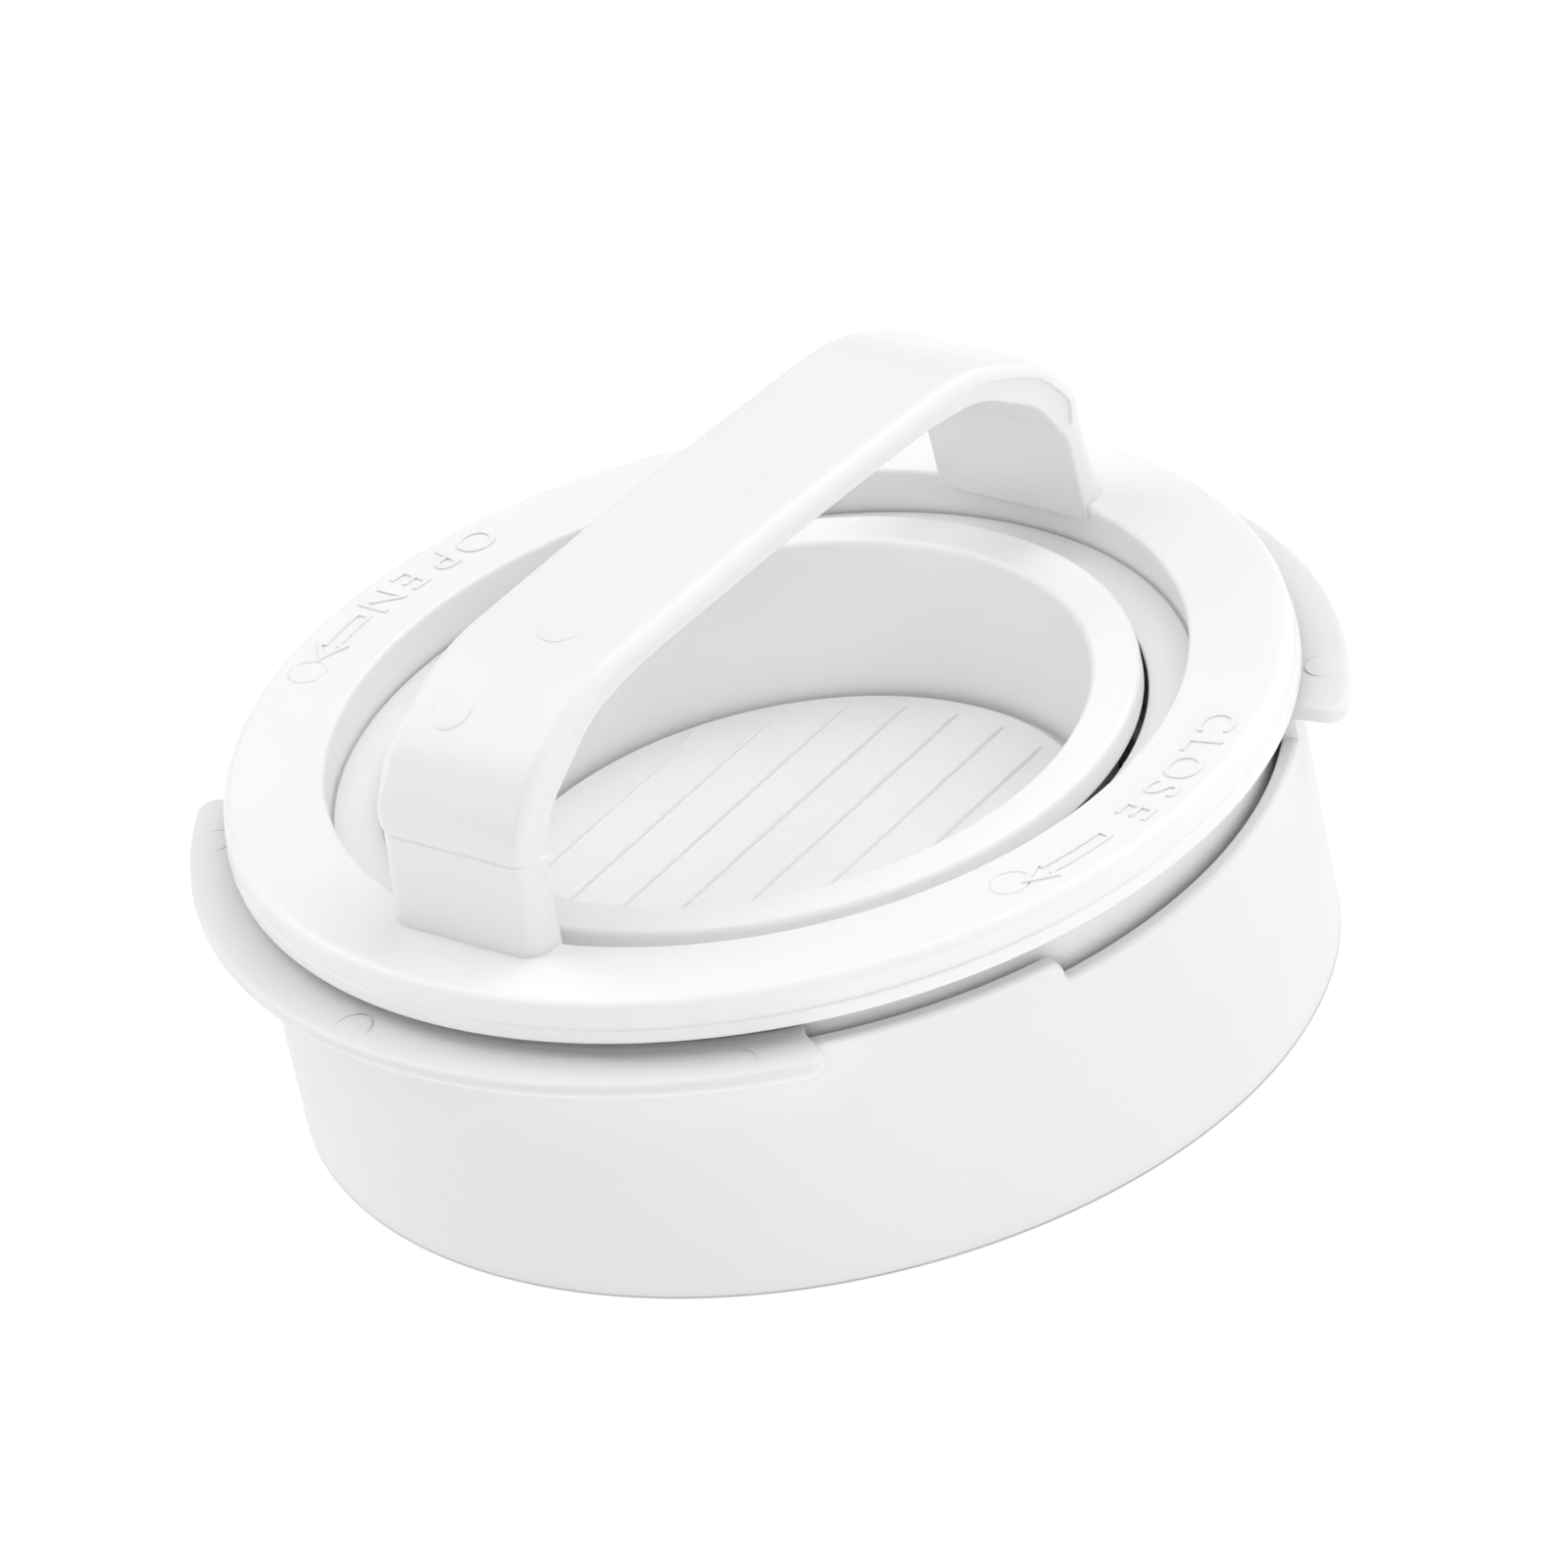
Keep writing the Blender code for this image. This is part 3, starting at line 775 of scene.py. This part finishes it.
def build_handle(material):
    outer = mirrored(handle_path())
    inner = mirrored(outline(HANDLE_INNER, closed=False, arc_step=STRAP_ARC_STEP_DEG))
    columns = []
    for i, (t, z) in enumerate(outer):
        before = outer[max(0, i - 1)]
        after = outer[min(len(outer) - 1, i + 1)]
        length = math.dist(before, after)
        inward = (-(after[1] - before[1]) / length, (after[0] - before[0]) / length)
        thick = crossing((t, z), inward, inner)
        upper = smoothstep(CREASE_Z - 0.2, CREASE_Z + 0.3, z)
        slimmer = smoothstep(CREASE_Z - 1.0, CREASE_Z + 4.0, z)
        edge_round = FOOT_EDGE + (CROWN_EDGE - FOOT_EDGE) * slimmer
        inset = FOOT_INSET + (CROWN_INSET - FOOT_INSET) * upper
        section = strap_section(edge_round, inset, thick)
        section += [(-w, n) for w, n in reversed(section[1:-1])]
        bulge = crease_bulge(z)
        column = []
        for w, n in section:
            depth = n - bulge * (1 - smoothstep(0.8, 2.2, n))
            column.append((t + inward[0] * depth, w, z + inward[1] * depth))
        columns.append(column)
    handle = grid_mesh("strap_handle_fine", columns, False, cap_ends=True)
    for t, w, lift in HANDLE_PINS:
        combine(handle, pin_mark(t, w, lift, outer), "UNION")
    handle.data.transform(Matrix.Rotation(math.radians(HANDLE_TURN_DEG), 4, "Z"))
    finish_piece(handle, "ring", "handle_plastic", material, "strap_handle")


def pin_mark(t, w, lift, outer):
    """A low disc left by an upright ejector pin: it follows the strap and stands prouder downhill."""
    line = sorted(outer)
    tilt = HANDLE_PIN_TILT * math.copysign(1.0, t)

    def surface(s):
        for (t0, z0), (t1, z1) in zip(line, line[1:]):
            if t0 <= s <= t1:
                return z0 + (z1 - z0) * (s - t0) / max(t1 - t0, 1e-6)
        return line[0][1]

    # (radius, depth below the disc's top) from the rounded edge inward
    rings = [(HANDLE_PIN_R, 0.05), (HANDLE_PIN_R - 0.06, 0.0), (2.1, 0.0), (1.4, 0.0), (0.7, 0.0)]
    steps = 48
    bm = bmesh.new()
    grid = []
    for step in range(steps):
        a = math.tau * step / steps
        x, y = math.cos(a), math.sin(a)
        s = t + HANDLE_PIN_R * x
        column = [(t, w, surface(t) - HANDLE_PIN_SINK)]
        column.append((s, w + HANDLE_PIN_R * y, surface(s) - HANDLE_PIN_SINK))
        for r, drop in rings:
            s = t + r * x
            rise = lift + tilt * (s - t) - drop
            column.append((s, w + r * y, surface(s) + rise))
        column.append((t, w, surface(t) + lift))
        grid.append([bm.verts.new((x * MM, y * MM, z * MM)) for x, y, z in column])
    for i, near in enumerate(grid):
        far = grid[(i + 1) % steps]
        for low, high in zip(range(len(near) - 1), range(1, len(near))):
            bm.faces.new((near[low], far[low], far[high], near[high]))
    bmesh.ops.remove_doubles(bm, verts=bm.verts, dist=0.001 * MM)
    bmesh.ops.dissolve_degenerate(bm, edges=bm.edges, dist=0.0005 * MM)
    bmesh.ops.recalc_face_normals(bm, faces=bm.faces)
    return object_from("pin_mark", bm)


# ---------------------------------------------------------------- stuffing cup

def build_cup(material):
    low = CUP_LOW.z
    groove_low = CUP_FLOOR_TOP - CUP_GROOVE
    disc_r = CUP_FLOOR_R - CUP_GROOVE
    rim = [
        (CUP_R, CUP_TOP - 0.1, 0.9), (CUP_R, CUP_RIM_BOTTOM, 0.5), (CUP_OUTER_R_TOP, CUP_RIM_BOTTOM, 0.4),
        (CUP_OUTER_R_BOTTOM, low, 1.0), (0.0, low, 0.0), (0.0, CUP_FLOOR_TOP, 0.0),
        (disc_r, CUP_FLOOR_TOP, 0.2), (disc_r, groove_low, 0.15), (CUP_FLOOR_R, groove_low, 0.15),
        (CUP_MOUTH_R, CUP_TOP - 0.15, 0.9), (CUP_CREST_R, CUP_TOP, 6.0),
    ]
    cup = lathe("stuffing_cup_fine", outline(rim))
    for index in range(RIB_COUNT):
        offset = (index - RIB_COUNT // 2) * RIB_PITCH
        half_length = math.sqrt(CUP_FLOOR_R ** 2 - offset ** 2) - RIB_END_SPACE
        combine(cup, floor_rib(offset, half_length), "UNION")
    finish_piece(cup, "cup", "cup_plastic", material, "stuffing_cup")


def floor_rib(offset, half_length):
    """A low rounded rib on the cup's floor, tapering into the floor at both ends."""
    half = RIB_WIDTH / 2
    root = CUP_FLOOR_TOP - RIB_SINK
    # (distance in from the end, share of the full height)
    taper = [(0.0, 0.05), (0.5, 0.7), (1.4, 1.0)]
    path = [(d - half_length, k) for d, k in taper] + [(half_length - d, k) for d, k in reversed(taper)]
    columns = []
    for x, k in path:
        column = [(x, offset - half, root), (x, offset - half, CUP_FLOOR_TOP)]
        for degrees in (150, 120, 90, 60, 30):
            a = math.radians(degrees)
            column.append((x, offset + half * math.cos(a), CUP_FLOOR_TOP + RIB_HEIGHT * k * math.sin(a)))
        column += [(x, offset + half, CUP_FLOOR_TOP), (x, offset + half, root)]
        columns.append(column)
    rib = grid_mesh("rib", columns, False, cap_ends=True)
    rib.data.transform(Matrix.Rotation(math.radians(RIB_TURN_DEG), 4, "Z"))
    return rib


# ---------------------------------------------------------------- studio

def build_floor():
    """A plain white sweep that glows evenly, with a painted contact shadow: no glow under the base, fading
    in just past its foot.
    """
    floor = object_from("studio_floor", disc(FLOOR_RADIUS))
    material = bpy.data.materials.new("studio_floor")
    material.use_nodes = True
    nodes = material.node_tree.nodes
    links = material.node_tree.links
    shader = nodes["Principled BSDF"]
    shader.inputs["Base Color"].default_value = (FLOOR_SHADE, FLOOR_SHADE, FLOOR_SHADE, 1.0)
    shader.inputs["Roughness"].default_value = 0.9
    shader.inputs["Specular IOR Level"].default_value = 0.0
    shader.inputs["Emission Color"].default_value = (1.0, 1.0, 1.0, 1.0)
    place = nodes.new("ShaderNodeTexCoord")
    reach = nodes.new("ShaderNodeVectorMath")
    reach.operation = "LENGTH"
    links.new(place.outputs["Object"], reach.inputs[0])
    # Painted contact shadow: the glow rises from 0 at 0.5 mm inside the base's foot to full 0.15 mm
    # outside it, leaving a thin dark ring on the floor.
    glow = nodes.new("ShaderNodeMapRange")
    glow.inputs["From Min"].default_value = (WALL_R_BOTTOM - 0.5) * MM
    glow.inputs["From Max"].default_value = (WALL_R_BOTTOM + 0.15) * MM
    glow.inputs["To Min"].default_value = 0.0
    glow.inputs["To Max"].default_value = FLOOR_GLOW
    links.new(reach.outputs["Value"], glow.inputs["Value"])
    links.new(glow.outputs["Result"], shader.inputs["Emission Strength"])
    floor.data.materials.append(material)


def disc(radius):
    bm = bmesh.new()
    bmesh.ops.create_circle(bm, cap_ends=True, segments=64, radius=radius)
    return bm


def area_light(name, azimuth, elevation, power):
    """A soft round lamp that faces the press from LIGHT_DISTANCE away."""
    data = bpy.data.lights.new(name, "AREA")
    data.shape = "DISK"
    data.size = LIGHT_SIZE
    data.energy = power
    light = bpy.data.objects.new(name, data)
    bpy.context.scene.collection.objects.link(light)
    a = math.radians(azimuth)
    e = math.radians(elevation)
    away = Vector((math.sin(a) * math.cos(e), -math.cos(a) * math.cos(e), math.sin(e)))
    light.location = away * LIGHT_DISTANCE
    light.rotation_euler = away.to_track_quat("Z", "Y").to_euler()


def build_world():
    """A dim even sky with a narrow white band at the horizon, level with the floor's own glow."""
    world = bpy.data.worlds.new("studio")
    bpy.context.scene.world = world
    world.use_nodes = True
    nodes = world.node_tree.nodes
    links = world.node_tree.links
    background = nodes["Background"]
    background.inputs["Color"].default_value = (1.0, 1.0, 1.0, 1.0)
    place = nodes.new("ShaderNodeTexCoord")
    split = nodes.new("ShaderNodeSeparateXYZ")
    links.new(place.outputs["Generated"], split.inputs["Vector"])
    strength = nodes.new("ShaderNodeMapRange")
    strength.inputs["From Min"].default_value = HORIZON_BAND[0]
    strength.inputs["From Max"].default_value = HORIZON_BAND[1]
    strength.inputs["To Min"].default_value = HORIZON_GLOW
    strength.inputs["To Max"].default_value = SKY
    links.new(split.outputs["Z"], strength.inputs["Value"])
    links.new(strength.outputs["Result"], background.inputs["Strength"])


def build_camera():
    """A long lens above one foot of the handle, rolled so that the press leans."""
    azimuth = math.radians(CAMERA_AZIMUTH)
    elevation = math.radians(CAMERA_ELEVATION)
    roll = math.radians(CAMERA_ROLL)
    away = Vector((math.sin(azimuth) * math.cos(elevation), -math.cos(azimuth) * math.cos(elevation),
                   math.sin(elevation)))
    right = Vector((math.cos(azimuth), math.sin(azimuth), 0.0))
    up = away.cross(right)
    image_right = right * math.cos(roll) - up * math.sin(roll)
    image_up = right * math.sin(roll) + up * math.cos(roll)
    target = Vector((0.0, 0.0, RING_BOTTOM * MM))
    place = target + away * CAMERA_DISTANCE
    look_at = target + image_right * CAMERA_SHIFT[0] + image_up * CAMERA_SHIFT[1]
    back = (place - look_at).normalized()
    side = (image_right - back * image_right.dot(back)).normalized()
    data = bpy.data.cameras.new("camera")
    data.lens = CAMERA_LENS
    data.sensor_width = 36.0
    data.clip_start = 0.05
    camera = bpy.data.objects.new("camera", data)
    bpy.context.scene.collection.objects.link(camera)
    rotation = Matrix((side, back.cross(side), back)).transposed()
    camera.matrix_world = Matrix.Translation(place) @ rotation.to_4x4()
    bpy.context.scene.camera = camera


# These are copies of one white plastic. Each shade was set to match how bright that part looks in this
# light, so the cup's lighter shade is painted light and the darker base and handle shades are painted
# shade.
build_base(moulded_plastic("base_plastic_painted_shade", 0.85, 0.40))
build_plate(moulded_plastic("plate_plastic_painted_shade", 0.88, 0.42))
build_drum(moulded_plastic("drum_plastic_painted_shade", 0.88, 0.42))
ring_plastic_painted_shade = moulded_plastic("ring_plastic_painted_shade", 0.92, 0.38, bands=0.10)
build_ring(ring_plastic_painted_shade)
build_labels(ring_plastic_painted_shade)
build_handle(moulded_plastic("handle_plastic_painted_shade", 0.87, 0.36))
build_cup(moulded_plastic("cup_plastic_painted_shade", 0.95, 0.36))
build_floor()
build_world()
for light_name, (turn, elevation, power) in LIGHTS.items():
    area_light(light_name, CAMERA_AZIMUTH + turn, elevation, power)
build_camera()
bpy.context.scene.view_settings.view_transform = "Standard"
